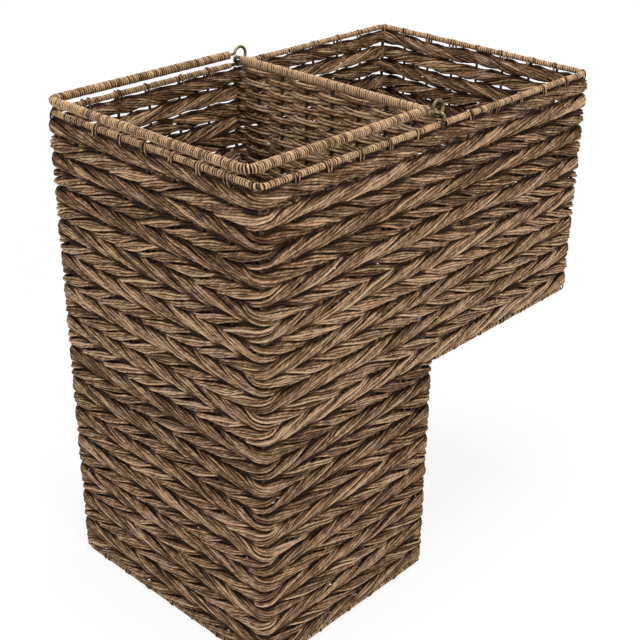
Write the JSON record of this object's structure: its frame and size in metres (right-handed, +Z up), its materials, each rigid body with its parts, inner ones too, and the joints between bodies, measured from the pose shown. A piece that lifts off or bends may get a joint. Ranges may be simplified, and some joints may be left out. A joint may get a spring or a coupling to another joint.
{
  "type": "stair basket",
  "caption": "L-shaped woven basket on a steel wire frame that straddles a stair step: deep front column, shallow rear shelf, divider and folding wound bail handle.",
  "frame": {"origin": "on the floor under the column, below the middle of the whole basket's outline, at the height of the column base wrap's underside", "axes": "+Z up, -Y to the front where the deep column stands, +Y to the back where the shelf reaches over the upper step, X across the basket along the divider"},
  "size_m": [0.229, 0.3849, 0.411],
  "materials": {
    "frame_steel": "dark lacquered wire, satin",
    "weave_strand": "twisted brown strand, matt with a slight sheen",
    "wound_cord": "brown cord wound tight, matt"
  },
  "bodies": {
    "basket": {"rim_wire": "frame_steel", "column_base_wire": "frame_steel", "shelf_base_wire": "frame_steel", "handle_pivot_wire": "frame_steel", "divider_rail_wire": "frame_steel", "front_left_post": "frame_steel", "front_right_post": "frame_steel", "step_left_post": "frame_steel", "step_right_post": "frame_steel", "back_left_post": "frame_steel", "back_right_post": "frame_steel", "column_cross_stake_1": "frame_steel", "column_cross_stake_2": "frame_steel", "column_cross_stake_3": "frame_steel", "column_cross_stake_4": "frame_steel", "column_cross_stake_5": "frame_steel", "shelf_cross_stake_1": "frame_steel", "shelf_cross_stake_2": "frame_steel", "shelf_cross_stake_3": "frame_steel", "shelf_cross_stake_4": "frame_steel", "shelf_cross_stake_5": "frame_steel", "column_long_stake_1": "frame_steel", "column_long_stake_2": "frame_steel", "column_long_stake_3": "frame_steel", "column_long_stake_4": "frame_steel", "column_long_stake_5": "frame_steel", "column_long_stake_6": "frame_steel", "column_long_stake_7": "frame_steel", "shelf_long_stake_1": "frame_steel", "shelf_long_stake_2": "frame_steel", "shelf_long_stake_3": "frame_steel", "shelf_long_stake_4": "frame_steel", "shelf_long_stake_5": "frame_steel", "shelf_long_stake_6": "frame_steel", "shelf_long_stake_7": "frame_steel", "column_weave": "weave_strand", "upper_weave": "weave_strand", "divider_weave": "weave_strand", "column_floor_weave": "weave_strand", "shelf_floor_weave": "weave_strand", "front_rim_wrap": "wound_cord", "rear_rim_wrap": "wound_cord", "column_base_wrap": "wound_cord", "shelf_base_wrap": "wound_cord", "divider_rail_wrap": "wound_cord"},
    "handle": {"handle_wire": "frame_steel", "handle_wrap": "wound_cord"}
  },
  "joints": [
    {"name": "handle_fold", "type": "hinge", "parent": "basket", "child": "handle", "pos_m": [0, -0.0005, 0.4006], "axis": [-1, 0, 0], "range_deg": [0, 178.7]}
  ]
}
